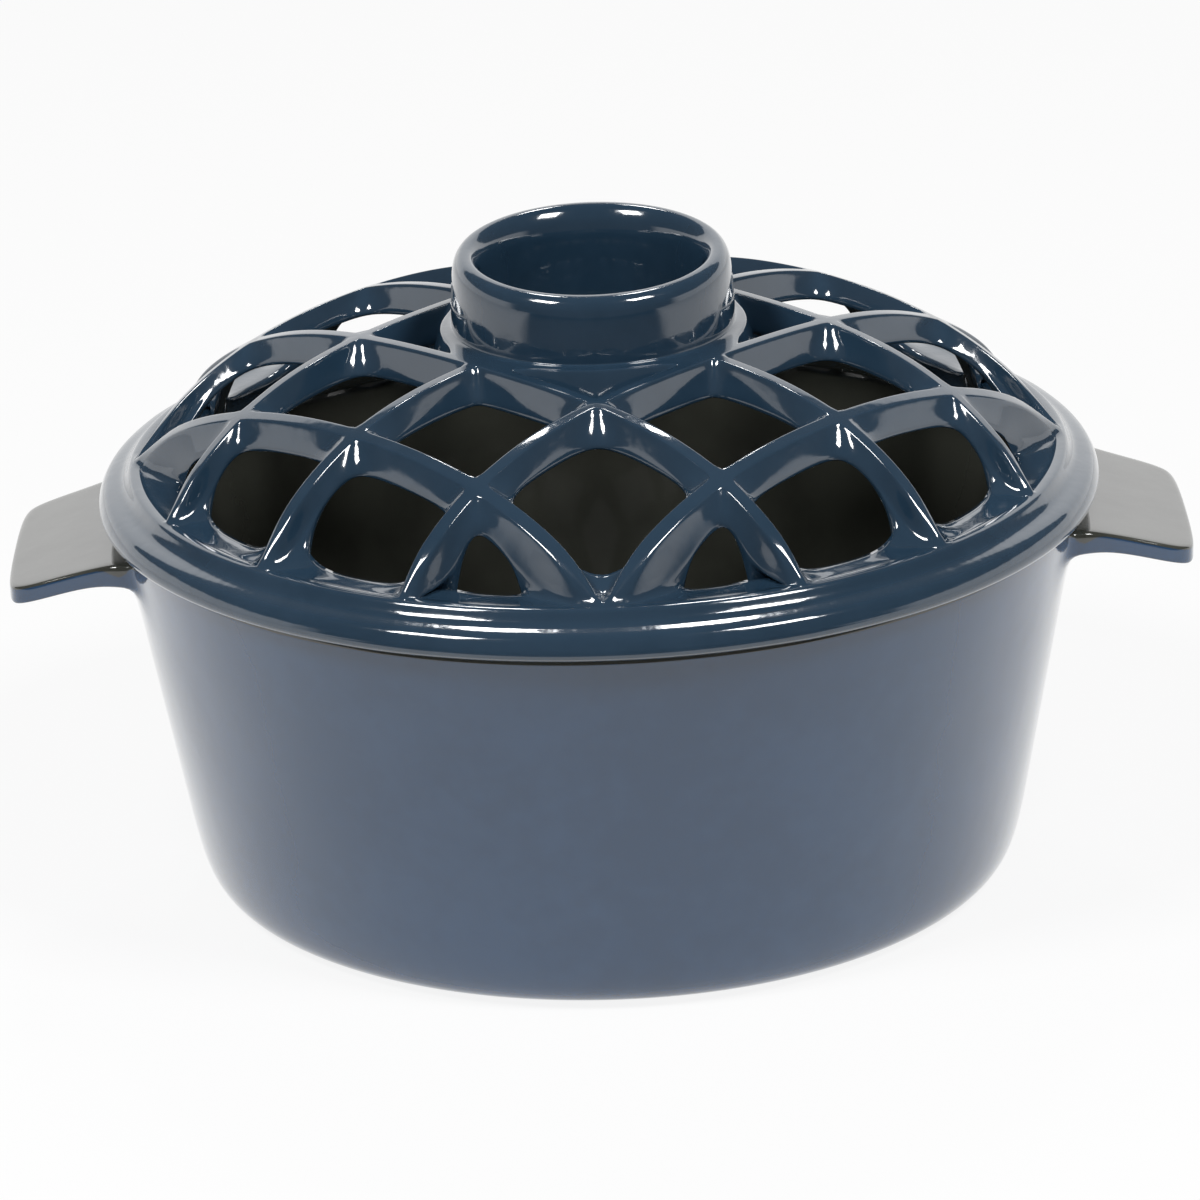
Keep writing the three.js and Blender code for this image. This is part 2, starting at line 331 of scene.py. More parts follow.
pull_ears()
close_up()
print("pot with ears:", len(edited().faces), "faces")

# %% [markdown]
# ## Where the black coat goes
#
# The pot is blue outside and black inside, and the black runs over the rim and along the upper
# face of the ears. A second object or a second material would leave a hard line, so a number is
# stored on the cage instead: 1 where the coat is black. Subdividing the cage blends it, and the
# material later reads it.

# %% Mark the black coat
def takes_black(point):
    wall_inside = wall_radius(point.z) - 0.6 * POT_WALL
    inside = point.z > POT_FLOOR - NEAR and across(point) < wall_inside
    rim = point.z > BLACK_LINE
    beside_ear = abs(math.atan2(point.y, abs(point.x))) < (EAR_COLUMNS + 0.2) * SECTOR
    ear_face = point.z > ear_top(max(abs(point.x), RIM_RADIUS)) - 0.5 * EAR_EDGE
    return inside or rim or (beside_ear and ear_face)


def mark_black_coat():
    mesh = edited()
    layer = mesh.verts.layers.float.new("black_coat")
    for vertex in mesh.verts:
        vertex[layer] = 1.0 if takes_black(vertex.co) else 0.0
    bmesh.update_edit_mesh(bpy.context.object.data)


mark_black_coat()
pot = smooth(pot)

# %% [markdown]
# ## The lid's plan
#
# The lid is one casting: a flange, two families of five ribs that cross over the pot, and a
# collar in the middle. It could be ten bars joined by booleans, but every crossing would then
# have hard, broken edges. Here the lattice is drawn flat first: a disc, cut along the middle of
# every rib. Each cell of this drawing becomes one opening, and the strips between them become
# the ribs.

# %% Draw the lattice
SEAT = POT_HEIGHT + 0.3 * MM
FLANGE_RADIUS = lid_high.y
RIB_CIRCLE = FLANGE_RADIUS - 8.9 * MM
RIBS_EACH_WAY = 5
OUTER_RIB = RIBS_EACH_WAY // 2
RIB_PITCH = math.sqrt(2) * RIB_CIRCLE / (RIBS_EACH_WAY - 1)


def cut_along_ribs():
    for axis in (Vector((1, 0, 0)), Vector((0, 1, 0))):
        for number in range(-OUTER_RIB, OUTER_RIB + 1):
            choose_all()
            bpy.ops.mesh.bisect(plane_co=axis * (number * RIB_PITCH), plane_no=axis)


lid = start(bpy.ops.mesh.primitive_circle_add, "lattice_lid_enamel", vertices=POT_SECTORS,
            radius=RIB_CIRCLE, fill_type="NGON")
cut_along_ribs()
print("cells between the ribs:", len(edited().faces))

# %% [markdown]
# ## A ring for the collar
#
# The crossing in the middle makes way for the collar. A circle takes its place, four webs tie it
# to the ribs around it, and a pocket is left between each two webs, as in the casting. A tube
# joined on at the end would cut across the ribs, so the ring is part of the plan from the start.

# %% Join the collar's ring
COLLAR_RING = 35.8 * MM
COLLAR_SECTORS = 32
WEB_HALF = 6 * MM
WEB_TURN = math.radians(22.5)
QUARTER_TURNS = [Matrix.Rotation(quarter * math.pi / 2, 3, "Z") for quarter in range(4)]


def is_at(vertex, x, y):
    return math.hypot(vertex.co.x - x, vertex.co.y - y) < NEAR


def farther(point):
    return max(abs(point.x), abs(point.y))


def nearer(point):
    return min(abs(point.x), abs(point.y))


def is_middle_square(edge):
    return all(abs(farther(vertex.co) - RIB_PITCH) < NEAR for vertex in edge.verts)


def is_square_middle(vertex):
    half_way = abs(nearer(vertex.co) - RIB_PITCH / 2) < NEAR
    return half_way and farther(vertex.co) < RIB_PITCH + NEAR


def to_web_corner(point):
    if abs(point.x) < abs(point.y):
        return Vector((math.copysign(WEB_HALF, point.x), point.y, 0))
    return Vector((point.x, math.copysign(WEB_HALF, point.y), 0))


def draw_web_sides(turn):
    for side in (1, -1):
        bearing = Vector((math.cos(WEB_TURN), side * math.sin(WEB_TURN), 0))
        ring = turn @ bearing * COLLAR_RING
        rib = turn @ Vector((RIB_PITCH, side * WEB_HALF, 0))
        choose("VERT", lambda v: is_at(v, ring.x, ring.y) or is_at(v, rib.x, rib.y))
        bpy.ops.mesh.edge_face_add()


def fill_ring(rule):
    """Make one face inside the closed ring of edges whose middles a rule accepts."""
    choose("EDGE", lambda edge: rule((edge.verts[0].co + edge.verts[1].co) / 2))
    bpy.ops.mesh.edge_face_add()


def fill_web_and_pocket(turn):
    """Fill the two faces of one quarter, which is turned back to the first one to be read."""
    back = turn.transposed()

    def around_web(point):
        place = back @ point
        bearing = abs(math.atan2(place.y, place.x))
        return place.x < RIB_PITCH + NEAR and bearing < WEB_TURN

    def around_pocket(point):
        place = back @ point
        bearing = math.atan2(place.y, place.x)
        ring = WEB_TURN < bearing < math.pi / 2 - WEB_TURN
        on_ring = across(place) < COLLAR_RING + NEAR
        square = nearer(place) > WEB_HALF and farther(place) < RIB_PITCH + NEAR
        return min(place.x, place.y) > 0 and (ring if on_ring else square)

    fill_ring(around_web)
    fill_ring(around_pocket)


def join_ring():
    choose("VERT", lambda vertex: is_at(vertex, 0, 0))
    bpy.ops.mesh.delete(type="VERT")
    choose("EDGE", is_middle_square)
    bpy.ops.mesh.subdivide(number_cuts=1)
    put(is_square_middle, to_web_corner)
    bpy.ops.mesh.primitive_circle_add(vertices=COLLAR_SECTORS, radius=COLLAR_RING)
    for turn in QUARTER_TURNS:
        draw_web_sides(turn)
    for turn in QUARTER_TURNS:
        fill_web_and_pocket(turn)
    choose_all("FACE")
    bpy.ops.mesh.normals_make_consistent(inside=False)
    if sum(face.normal.z for face in edited().faces) < 0:
        bpy.ops.mesh.flip_normals()


join_ring()
print("cells in the plan:", len(edited().faces))

# %% [markdown]
# ## From cells to ribs
#
# Insetting every cell on its own, four times and each time lower, gives all the ribs their
# section at once: a narrow crest, a tight shoulder and a drafted side. The last inset is the
# opening, so its faces go. The upright corners get a crease, because subdividing would otherwise
# melt each crossing into a broad pad. Long edges are then divided, so that the ribs can follow
# the dome, and a light crease along the shoulders keeps their highlights narrow.

# %% Inset the openings
INSETS = [
    # step inwards, step down
    (1.45 * MM, 0.05 * MM),
    (0.35 * MM, 0.6 * MM),
    (1.2 * MM, 3.3 * MM),
    (0.9 * MM, 3.4 * MM),
]
OPENING_INSET = sum(step for step, drop in INSETS)
LEVEL_DROPS = [sum(drop for step, drop in INSETS[:count]) for count in range(len(INSETS) + 1)]
OPENING_LEVEL = len(INSETS)
LONG_EDGE = 14 * MM
LONG_EDGE_CUTS = 3
CORNER_TURN = math.radians(35)
CORNER_CREASE = {1: 0.5, 2: 0.45, 3: 0.3}
SHOULDER_CREASE = {1: 0.36, 2: 0.33}


def level_of(point):
    """Which inset a point belongs to, read from its depth in the flat drawing."""
    return min(range(len(LEVEL_DROPS)), key=lambda level: abs(point.z + LEVEL_DROPS[level]))


def corner_neighbours(vertex):
    """The two neighbours of a vertex on its own outline, if the outline turns sharply there."""
    level = level_of(vertex.co)
    beside = [edge.other_vert(vertex).co for edge in vertex.link_edges]
    beside = [place for place in beside if level_of(place) == level]
    if len(beside) != 2:
        return None
    turn = (vertex.co - beside[0]).angle(beside[1] - vertex.co)
    return beside if turn > CORNER_TURN else None


def crease_corners(level, amount):
    def is_spoke(edge):
        lower = min(edge.verts, key=lambda vertex: vertex.co.z)
        upper = edge.other_vert(lower)
        steps = level_of(lower.co) == level and level_of(upper.co) == level - 1
        return steps and corner_neighbours(lower) is not None

    count = choose("EDGE", is_spoke)
    bpy.ops.transform.edge_crease(value=amount)
    return count


def is_web(face):
    middle = face.calc_center_median()
    return nearer(middle) < NEAR and farther(middle) < RIB_PITCH


def inset_cells():
    choose("FACE", lambda face: not is_web(face))
    for step, drop in INSETS:
        bpy.ops.mesh.inset(thickness=step, depth=-drop, use_individual=True, use_boundary=True)
    bpy.ops.mesh.delete(type="FACE")
    creased = {level: crease_corners(level, amount) for level, amount in CORNER_CREASE.items()}
    print("creased corners:", creased)
    choose("EDGE", lambda edge: edge.calc_length() > LONG_EDGE)
    bpy.ops.mesh.subdivide(number_cuts=LONG_EDGE_CUTS)
    for level, amount in SHOULDER_CREASE.items():
        choose("EDGE", lambda edge: all(level_of(vertex.co) == level for vertex in edge.verts))
        bpy.ops.transform.edge_crease(value=amount)


inset_cells()
print("lattice strips:", len(edited().faces))

# %% [markdown]
# ## The outer openings
#
# The cells beside the flange don't reach it: a level ledge runs round inside, and their openings
# stop at its edge. So the lowest points of those cells move inwards, along their own rib, and
# the corners of every opening are then drawn in, as a foundry pattern is rounded so that it
# leaves the sand.

# %% Shape the openings
LEDGE_EDGE = 102.6 * MM
LEDGE_CORNER = 101.8 * MM
RIB_FOOT = OUTER_RIB * RIB_PITCH + OPENING_INSET
SIDE_FOOT = RIB_PITCH + OPENING_INSET
INNER_CIRCLE = RIB_CIRCLE - OPENING_INSET
CORNER_PULL = {3: 0.1, 4: 0.3}
CORNER_LIMIT = 1.5 * MM


def chord(radius, offset):
    return math.sqrt(max(radius * radius - offset * offset, 0))


def to_ledge(point):
    """Move a point of an opening in the outer cells so that the opening ends at the ledge."""
    along, aside = farther(point), nearer(point)
    if along < RIB_FOOT - NEAR:
        outside = across(point) > LEDGE_CORNER
        return at_radius(point, LEDGE_CORNER, point.z) if outside else point
    new_aside = aside
    if aside > RIB_PITCH:
        old_room = chord(INNER_CIRCLE, RIB_FOOT) - SIDE_FOOT
        room = (chord(LEDGE_EDGE, RIB_FOOT) - SIDE_FOOT) / old_room
        new_aside = SIDE_FOOT + (aside - SIDE_FOOT) * room
    share = (along - RIB_FOOT) / max(chord(INNER_CIRCLE, aside) - RIB_FOOT, NEAR)
    new_along = RIB_FOOT + min(share, 1) * (chord(LEDGE_EDGE, new_aside) - RIB_FOOT)
    x, y = (new_along, new_aside) if abs(point.x) > abs(point.y) else (new_aside, new_along)
    return Vector((math.copysign(x, point.x), math.copysign(y, point.y), point.z))


def pull_corners(level, pull):
    """Draw each sharp corner of one level's outline towards its neighbours."""
    moves = []
    mesh = edited()
    for vertex in mesh.verts:
        beside = corner_neighbours(vertex) if level_of(vertex.co) == level else None
        if beside:
            shift = ((beside[0] + beside[1]) / 2 - vertex.co) * pull
            moves.append((vertex, shift * min(1, CORNER_LIMIT / shift.length)))
    for vertex, shift in moves:
        vertex.co += shift
    bmesh.update_edit_mesh(bpy.context.object.data)
    return len(moves)


put(lambda vertex: level_of(vertex.co) == OPENING_LEVEL, to_ledge)
corners = {level: pull_corners(level, pull) for level, pull in CORNER_PULL.items()}
print("corners rounded:", corners)

# %% [markdown]
# ## The dome
#
# Only now does the flat drawing rise. A modifier could bend it, but two short formulas follow the
# real dome more closely. The crests follow the outer dome, the openings lie on the hollow
# underneath, and the points between share out the height, except at the flange, where the sides
# run down to the ledge.

# %% Raise the dome
RING_HEIGHT = 10.2 * MM
DOME_RISE = 31.9 * MM
DOME_TOP = RING_HEIGHT + DOME_RISE
DOME_FLATNESS = 4
DOME_FULLNESS = 0.9
LEDGE_HEIGHT = 9.3 * MM
HOLLOW_RISE = 25.4 * MM
HOLLOW_FULLNESS = 0.5
RING_SIDE = 107.5 * MM
RING_LEVELS = [RING_HEIGHT, 10.15 * MM, 9.95 * MM, 9.6 * MM, LEDGE_HEIGHT]
CREST_RADIUS = RIB_CIRCLE + 0.3 * MM
CREST_INSIDE = RIB_CIRCLE - 0.4 * MM
SHOULDER_LEVELS = 3
SIDE_SHARE = 0.6
RUN_DOWN_START = 100 * MM
RUN_DOWN_WIDTH = 8 * MM


def dome(radius):
    flat = min(radius / RIB_CIRCLE, 1) ** DOME_FLATNESS
    return RING_HEIGHT + DOME_RISE * (1 - flat) ** DOME_FULLNESS


def hollow(radius):
    flat = min(radius / LEDGE_EDGE, 1) ** DOME_FLATNESS
    return LEDGE_HEIGHT + HOLLOW_RISE * (1 - flat) ** HOLLOW_FULLNESS


def raised(point):
    level = level_of(point)
    radius = across(point)
    if level == 0 and radius > CREST_INSIDE:
        return at_radius(point, CREST_RADIUS, RING_HEIGHT)
    if radius > RING_SIDE:
        height = RING_LEVELS[level]
    elif level < SHOULDER_LEVELS:
        height = dome(radius) - LEVEL_DROPS[level]
    elif level == OPENING_LEVEL:
        height = hollow(radius)
    else:
        near_ring = min(max((radius - RUN_DOWN_START) / RUN_DOWN_WIDTH, 0), 1)
        share = SIDE_SHARE + (1 - SIDE_SHARE) * near_ring
        height = dome(radius) + share * (hollow(radius) - dome(radius))
    return Vector((point.x, point.y, height))


put(lambda vertex: True, raised)
print("lattice height:", round(max(v.co.z for v in edited().verts) / MM, 1), "mm")

# %% [markdown]
# ## The underside
#
# One extrusion of the whole sheet gives the lattice its underside, and the locating ring that
# drops into the pot. Solidify could do it too, but it would give the ribs one thickness
# everywhere. A light crease round the openings keeps their lower edge crisp.

# %% Thicken the lattice
RIM_THICKNESS = 1.2 * MM
LEDGE_UNDERSIDE = 4.0 * MM
LEDGE_WIDTH = 1.5 * MM
LOCATING_DEPTH = 3.5 * MM
LOCATING_FACE = 110.2 * MM
LOCATING_INSIDE = 109.4 * MM
LOCATING_ROUND = 0.9
LEDGE_BAND = 2 * MM
OPENING_CREASE = 0.25
LEDGE_CREASE = 0.2


def underside(point):
    radius = across(point)
    if radius > LOCATING_FACE:
        height = -LOCATING_DEPTH
    elif radius > LOCATING_INSIDE:
        height = -LOCATING_ROUND * LOCATING_DEPTH
    elif radius > LEDGE_EDGE - LEDGE_WIDTH:
        height = LEDGE_UNDERSIDE
    else:
        height = hollow(radius) - RIM_THICKNESS
    return Vector((point.x, point.y, height))


def is_opening_edge(edge):
    inside = all(across(vertex.co) < LEDGE_EDGE + NEAR for vertex in edge.verts)
    return edge.is_boundary and inside


def is_ledge_edge(edge):
    beside_ledge = all(across(vertex.co) > LEDGE_EDGE - LEDGE_BAND for vertex in edge.verts)
    return is_opening_edge(edge) and beside_ledge


choose("EDGE", is_opening_edge)
bpy.ops.transform.edge_crease(value=OPENING_CREASE)
choose("EDGE", is_ledge_edge)
bpy.ops.transform.edge_crease(value=LEDGE_CREASE)
choose_all("FACE")
extrude_to(underside)
close_up()
print("closed lattice:", len(edited().faces), "faces")

# %% [markdown]
# ## The flange
#
# The flange sits on the pot's rim. It could be spun as a ring of its own, but it would then meet
# the ribs in a seam. Pulled outwards from the side of the rib circle, ring by ring, it stays one
# skin with them: down from the crest, out along the neck, and round the outer edge. Two of its
# rings get a light crease, where the crest turns down and where the neck runs out.

# %% Pull the flange
FLANGE_STEPS = [
    # radius, height of the upper edge, height of the lower edge
    (114.3 * MM, 9.85 * MM, 0.0 * MM),
    (115.7 * MM, 7.35 * MM, 0.0 * MM),
    (117.0 * MM, 6.75 * MM, 0.0 * MM),
    (119.7 * MM, 6.2 * MM, 0.0 * MM),
    (120.8 * MM, 5.5 * MM, 0.0 * MM),
    (121.6 * MM, 4.1 * MM, 0.35 * MM),
    (FLANGE_RADIUS + 0.12 * MM, 2.5 * MM, 1.2 * MM),
]
FLANGE_BENDS = [FLANGE_STEPS[0], FLANGE_STEPS[2]]
FLANGE_MIDDLE = 2 * MM
FLANGE_CREASE = 0.33


def is_rib_circle_side(face):
    return all(across(vertex.co) > RIB_CIRCLE - NEAR for vertex in face.verts)


def is_on_bend(point):
    return any(abs(across(point) - radius) < NEAR and abs(point.z - top) < NEAR
               for radius, top, bottom in FLANGE_BENDS)


def is_flange_bend(edge):
    first, second = (vertex.co for vertex in edge.verts)
    level = abs(first.z - second.z) < NEAR and abs(across(first) - across(second)) < NEAR
    return level and is_on_bend(first)


choose("FACE", is_rib_circle_side)
bpy.ops.mesh.bisect(plane_co=(0, 0, 0), plane_no=UP)
choose("FACE", lambda face: is_rib_circle_side(face) and face.calc_center_median().z > 0)
for radius, top, bottom in FLANGE_STEPS:
    extrude_to(lambda point: at_radius(point, radius, top if point.z > FLANGE_MIDDLE else bottom))
choose("EDGE", is_flange_bend)
bpy.ops.transform.edge_crease(value=FLANGE_CREASE)
print("lid with flange:", len(edited().faces), "faces")

# %% [markdown]
# ## The collar
#
# Steam leaves through a short, thick-walled collar with a rolled lip. Its wall is widened inwards
# from the ring, and the top of that wall is then pulled up in steps that round the lip on both
# sides. The lip of the real casting is a little lower at the front, so the finished collar is
# sheared by moving each point down by its share of that fall.

# %% Pull the collar
COLLAR_FOOT = 34.6 * MM
COLLAR_BORE = 26.6 * MM
COLLAR_TOP = lid_high.z - SEAT
LIP_RADIUS = 34.7 * MM
LIP_FALL = 5 * MM
FACING_UP = 0.7
COLLAR_STEPS = [
    # height, outer radius, bore radius
    (DOME_TOP + 0.8 * MM, LIP_RADIUS, COLLAR_BORE),
    (COLLAR_TOP - 11 * MM, 34.4 * MM, COLLAR_BORE),
    (COLLAR_TOP - 6 * MM, 34.1 * MM, 26.8 * MM),
    (COLLAR_TOP - 3 * MM, 33.7 * MM, 27.5 * MM),
    (COLLAR_TOP - 1.1 * MM, 32.9 * MM, 28.6 * MM),
    (COLLAR_TOP + 0.1 * MM, 31.8 * MM, 29.7 * MM),
]


def is_collar_side(face):
    return all(across(vertex.co) < COLLAR_RING + NEAR for vertex in face.verts)


def is_collar_top(face):
    inside = all(across(vertex.co) < COLLAR_FOOT + NEAR for vertex in face.verts)
    return inside and face.normal.z > FACING_UP


def is_above_foot(vertex):
    return vertex.co.z > DOME_TOP + NEAR and across(vertex.co) < LIP_RADIUS + NEAR


def widen_to(radius):
    """Pull the collar's wall inwards, with its upper edge on the top of the dome."""
    upper = 0.9 * DOME_TOP
    extrude_to(lambda point: at_radius(point, radius, DOME_TOP if point.z > upper else point.z))


def lip_slope(point):
    """Bring a point of the collar down by its share of the lip's fall towards the front."""
    rise = (point.z - DOME_TOP) / (COLLAR_TOP - DOME_TOP)
    back = (point.x + point.y) / math.sqrt(2) / LIP_RADIUS
    return point - UP * (LIP_FALL * rise * (1 - back) / 2)


choose("FACE", is_collar_side)
widen_to(COLLAR_FOOT)
widen_to(COLLAR_BORE)
close_up()
choose("FACE", is_collar_top)
split = (COLLAR_FOOT + COLLAR_BORE) / 2
for height, outer, bore in COLLAR_STEPS:
    extrude_to(lambda point: at_radius(point, outer if across(point) > split else bore, height))
    split = (outer + bore) / 2
put(is_above_foot, lip_slope)
close_up()
print("lid cage:", len(edited().faces), "faces")

# %% [markdown]
# ## Seating the lid
#
# The ribs were drawn square to the axes because cuts along an axis are simple. On the pot they
# run at 45 degrees to the ears, so the finished lid is turned, lifted onto the rim and its place
# applied to its mesh.

# %% Seat the lid
LID_TURN = math.radians(45)
lid = smooth(lid)
lid.rotation_euler.z = LID_TURN
lid.location.z = SEAT
bpy.ops.object.transform_apply(location=True, rotation=True, scale=True)
print("lid top:", round(max(vertex.co.z for vertex in lid.data.vertices) / MM, 1), "mm")

# %% [markdown]
# ## A small language for materials
#
# Node trees are long when every link is a line. A wire stands for one socket here, arithmetic on
# wires adds the Math nodes, and one method adds any other node.

# %% Material helpers
class Wire:
    """One value in a node tree. Arithmetic on it adds Math nodes."""

    def __init__(self, paint, socket):
        self.paint = paint
        self.socket = socket

    def maths(self, operation, first, second):
        return self.paint.node("ShaderNodeMath", {"operation": operation}, {0: first, 1: second})

    def __add__(self, other):
        return self.maths("ADD", self, other)

    def __radd__(self, other):
        return self.maths("ADD", other, self)

    def __sub__(self, other):
        return self.maths("SUBTRACT", self, other)

    def __rsub__(self, other):
        return self.maths("SUBTRACT", other, self)

    def __mul__(self, other):
        return self.maths("MULTIPLY", self, other)

    def __rmul__(self, other):
        return self.maths("MULTIPLY", other, self)


class Paint:
    """A node tree that is being filled."""

    def __init__(self, tree):
        self.tree = tree
        self.tree.nodes.clear()

    def node(self, kind, settings=None, inputs=None, output=0):
        """Add a node, set it up, and give one of its outputs back."""
        node = self.tree.nodes.new(kind)
        for name, value in (settings or {}).items():
            setattr(node, name, value)
        for name, value in (inputs or {}).items():
            if isinstance(value, Wire):
                self.tree.links.new(value.socket, node.inputs[name])
            else:
                node.inputs[name].default_value = value
        return Wire(self, node.outputs[output]) if len(node.outputs) else None

    def blend(self, share, first, second):
        """Mix two colours."""
        settings = {"data_type": "RGBA"}
        return self.node("ShaderNodeMix", settings, {0: share, 6: first, 7: second}, 2)

    def fade(self, value, start_at, end_at):
        """Run smoothly from 0 to 1 as a value goes from one limit to the other."""
        settings = {"interpolation_type": "SMOOTHSTEP"}
        limits = {"Value": value, "From Min": start_at, "From Max": end_at}
        return self.node("ShaderNodeMapRange", settings, limits)

    def noise(self, place, scale, detail):
        inputs = {"Vector": place, "Scale": scale, "Detail": detail}
        return self.node("ShaderNodeTexNoise", {}, inputs)


def new_paint(name):
    material = bpy.data.materials.new(name)
    material.use_nodes = True
    return material, Paint(material.node_tree)


print("material helpers ready")

# %% [markdown]
# ## The enamel
#
# Porcelain enamel is coloured glass over dark iron: a deep navy that varies a little with the
# thickness of the coat, under a surface that is glossy but not quite flat. So the colour drifts
# slowly over the piece, the gloss is a clear coat over a softer layer, and two sizes of bump make
# the slight waviness and the fine orange peel that break up every reflection. Both castings wear
# one enamel. The pot's navy is painted lighter and bluer, as painted light from the white floor,
# and the lid's navy is painted darker, as painted shade.

# %% Mix the enamel
# painted light and shade: one enamel, lighter on the pot and darker on the lid
POT_NAVY_PAINTED_LIGHT = [(0.018, 0.062, 0.142, 1), (0.013, 0.051, 0.120, 1)]
LID_NAVY_PAINTED_SHADE = [(0.023, 0.051, 0.087, 1), (0.017, 0.042, 0.074, 1)]
BLACK = [(0.054, 0.056, 0.046, 1), (0.044, 0.045, 0.037, 1)]
POT_PEEL = 0.3
LID_PEEL = 0.7
MOTTLE_SHARE = 0.3
PATCH_EDGE = (0.38, 0.62)
COAT_EDGE = (0.4, 0.6)
COAT_RAGGED = 0.3
ROUGH_LEAST = 0.06
ROUGH_SMEARED = 0.1
BUMP_STRENGTH = 0.5
BUMP_DEPTH = 0.3 * MM
# scale and detail of each noise
DRIFT = (22, 3)
MOTTLE = (140, 2)
RAGGED_EDGE = (90, 2)
SMEAR = (60, 3)
WAVE = (60, 1)
RIPPLE = (190, 2)


def enamel(name, navy, peel, black_inside):
    material, paint = new_paint(name)
    place = paint.node("ShaderNodeTexCoord", {}, {}, "Object")
    mottle = MOTTLE_SHARE * paint.noise(place, *MOTTLE)
    patches = (1 - MOTTLE_SHARE) * paint.noise(place, *DRIFT) + mottle
    share = paint.fade(patches, *PATCH_EDGE)
    colour = paint.blend(share, *navy)
    if black_inside:
        coat = paint.node("ShaderNodeAttribute", {"attribute_name": "black_coat"}, {}, "Fac")
        edge = coat + COAT_RAGGED * (paint.noise(place, *RAGGED_EDGE) - 0.5)
        black = paint.blend(share, *BLACK)
        colour = paint.blend(paint.fade(edge, *COAT_EDGE), colour, black)
    rough = ROUGH_LEAST + ROUGH_SMEARED * paint.noise(place, *SMEAR)
    skin = paint.noise(place, *WAVE) + peel * paint.noise(place, *RIPPLE)
    bump = paint.node("ShaderNodeBump", {}, {
        "Strength": BUMP_STRENGTH, "Distance": BUMP_DEPTH, "Height": skin})
    shader = paint.node("ShaderNodeBsdfPrincipled", {}, {
        "Base Color": colour, "Roughness": rough, "Normal": bump,
        "IOR": 1.5, "Coat Weight": 1.0, "Coat Roughness": 0.02, "Coat IOR": 1.55})
    paint.node("ShaderNodeOutputMaterial", {}, {"Surface": shader})
    return material


pot.data.materials.append(enamel("pot_enamel", POT_NAVY_PAINTED_LIGHT, POT_PEEL, True))
lid.data.materials.append(enamel("lid_enamel", LID_NAVY_PAINTED_SHADE, LID_PEEL, False))
print("materials:", [piece.data.materials[0].name for piece in (pot, lid)])

# %% [markdown]
# ## The floor
#
# The steamer stood on a white sweep in a darker room, and glossy enamel shows both: pale floor in
# the pot's side and low on the ribs, dark room in the upright faces that look at the camera. So
# the floor's colour is painted dark a little way in front of the pot, as painted shade where the
# sweep lies in shade, and it opens out white to both sides. Reflections show that painted shade
# too. To the camera itself it is plain white everywhere, and it keeps the shadow.

# %% Lay the floor
FLOOR_SIZE = 8.0
FLOOR_GAP = 0.1 * MM
FLOOR_WHITE = (0.9, 0.9, 0.9, 1)
# painted shade: the floor's colour in front of the pot, where the sweep lies in shade
FLOOR_PAINTED_SHADE = (0.1, 0.1, 0.1, 1)
FLOOR_GLOW = 0.88
FLOOR_GLOSS = 0.8
SWEEP_FRONT = (-0.36, -0.26)
SWEEP_SIDE = (0.0, 0.3)
SWEEP_WIDENING = 1.2
WHITE = (1, 1, 1, 1)


def light_path(paint, kind):
    return paint.node("ShaderNodeLightPath", {}, {}, kind)


def seen_white(paint, sweep):
    """1 for rays that meet plain white: from the camera, through glass, or glossy on the sweep."""
    direct = light_path(paint, "Is Camera Ray") + light_path(paint, "Is Transmission Ray")
    return direct + light_path(paint, "Is Glossy Ray") * sweep


def level_parts(paint, vector):
    """How far a vector points away from the camera, and how far to either side."""
    ahead = paint.node("ShaderNodeSeparateXYZ", {}, {0: vector}, "Y")
    sideways = paint.node("ShaderNodeSeparateXYZ", {}, {0: vector}, "X")
    return ahead, paint.node("ShaderNodeMath", {"operation": "ABSOLUTE"}, {0: sideways})


def make_floor():
    bpy.ops.object.select_all(action="DESELECT")
    bpy.ops.mesh.primitive_plane_add(size=FLOOR_SIZE, location=(0, 0, -FLOOR_GAP))
    floor = bpy.context.object
    floor.name = "floor"
    material, paint = new_paint("sweep_with_painted_shade")
    place = paint.node("ShaderNodeTexCoord", {}, {}, "Object")
    ahead, aside = level_parts(paint, place)
    front = paint.fade(ahead, *SWEEP_FRONT)
    side = paint.fade(aside + SWEEP_WIDENING * ahead, *SWEEP_SIDE)
    sweep = front + (1 - front) * side
    # the floor's colour runs from painted shade in front of the pot to white at the sides
    white = paint.blend(sweep, FLOOR_PAINTED_SHADE, FLOOR_WHITE)
    diffuse = paint.node("ShaderNodeBsdfDiffuse", {}, {"Color": white})
    glow = paint.node("ShaderNodeEmission", {}, {"Color": WHITE, "Strength": 1.0})
    share = FLOOR_GLOW * seen_white(paint, FLOOR_GLOSS * sweep)
    surface = paint.node("ShaderNodeMixShader", {}, {0: share, 1: diffuse, 2: glow})
    paint.node("ShaderNodeOutputMaterial", {}, {"Surface": surface})
    floor.data.materials.append(material)
    return floor


floor = make_floor()
print("floor:", floor.name, FLOOR_SIZE, "m wide")

# %% [markdown]
# ## The sky
#
# Behind the object the sweep rises as a tall white backdrop, which the ears, the crests and the
# flange show. At both sides it is only a low white band, so that the ribs are pale below and dark
# above. In front and overhead is the dark room. A sky picture would do the same, but a few fades
# of the direction are enough.

# %% Make the sky
SKY_FRONT = (-0.45, -0.2)
SKY_BACK = (0.1, 0.5)
SKY_BACK_SIDE = (0.35, 0.8)
SWEEP_SIDE_TOP = 0.205
SWEEP_BACK_TOP = 0.56
SWEEP_EDGE = 0.03
ROOM_LIGHT = 0.1


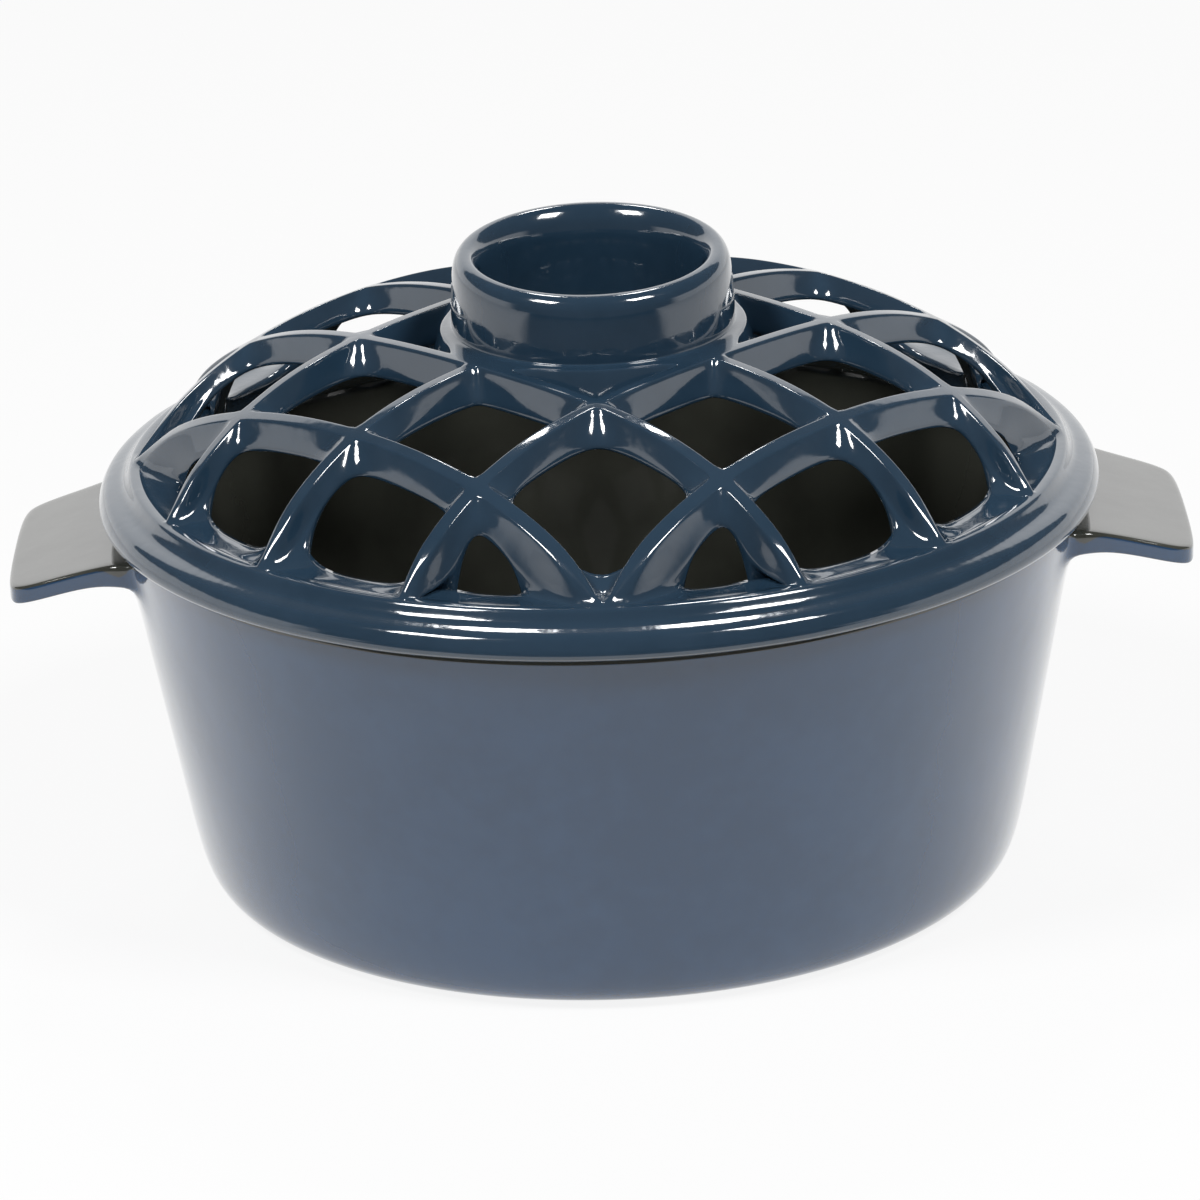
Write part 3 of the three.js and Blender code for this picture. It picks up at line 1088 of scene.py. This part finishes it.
def make_sky():
    world = bpy.data.worlds.new("studio")
    world.use_nodes = True
    bpy.context.scene.world = world
    paint = Paint(world.node_tree)
    direction = paint.node("ShaderNodeTexCoord", {}, {}, "Generated")
    ahead, aside = level_parts(paint, direction)
    height = paint.node("ShaderNodeSeparateXYZ", {}, {0: direction}, "Z")
    behind = paint.fade(ahead, *SKY_BACK) * (1 - paint.fade(aside, *SKY_BACK_SIDE))
    top = SWEEP_SIDE_TOP + (SWEEP_BACK_TOP - SWEEP_SIDE_TOP) * behind
    sweep = paint.fade(ahead, *SKY_FRONT) * (1 - paint.fade(height - top, 0, SWEEP_EDGE))
    white = seen_white(paint, sweep)
    level = white + (1 - white) * (ROOM_LIGHT + (1 - ROOM_LIGHT) * sweep)
    glow = paint.node("ShaderNodeBackground", {}, {"Color": WHITE, "Strength": level})
    paint.node("ShaderNodeOutputWorld", {}, {"Surface": glow})
    return world


world = make_sky()
print("sky:", world.name)

# %% [markdown]
# ## The lamps
#
# Two soft boxes stand in front, left and right of the camera, and leave the long bright dashes on
# every round edge. Two small lamps behind leave the short ones on the collar's lip and the
# crests. All are area lamps, because their shape is what the glossy coat shows.

# %% Set up the lamps
LAMPS = [
    # name, bearing and elevation as seen from the object, width and depth in m, power in W
    ("box_left", math.radians(-48), math.radians(50), 0.5, 0.4, 18),
    ("box_right", math.radians(48), math.radians(50), 0.5, 0.4, 18),
    ("back_left", math.radians(-172.5), math.radians(49), 0.12, 0.2, 2.2),
    ("back_right", math.radians(172.5), math.radians(49), 0.12, 0.2, 2.2),
]
LAMP_DISTANCE = 1.9


def make_lamp(name, bearing, elevation, width, depth, power):
    data = bpy.data.lights.new(name, "AREA")
    data.shape = "RECTANGLE"
    data.size = width
    data.size_y = depth
    data.energy = power
    level = math.cos(elevation)
    away = Vector((math.sin(bearing) * level, -math.cos(bearing) * level, math.sin(elevation)))
    lamp = bpy.data.objects.new(name, data)
    lamp.location = CAMERA_TARGET + away * LAMP_DISTANCE
    lamp.rotation_euler = away.to_track_quat("Z", "Y").to_euler()
    bpy.context.scene.collection.objects.link(lamp)
    return lamp


lamps = [make_lamp(*lamp) for lamp in LAMPS]
bpy.context.scene.view_settings.view_transform = "Standard"
print("lamps:", [lamp.name for lamp in lamps])

# %% [markdown]
# ## Joining the frame
#
# Each casting rides on its own body and stands for its own solid, so that the lid lifts as the
# model says it does.

# %% Ride and replace
for piece, body, node in ((pot, "pot", "pot"), (lid, "lid", "lattice_lid")):
    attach(piece, body)
    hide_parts(node)
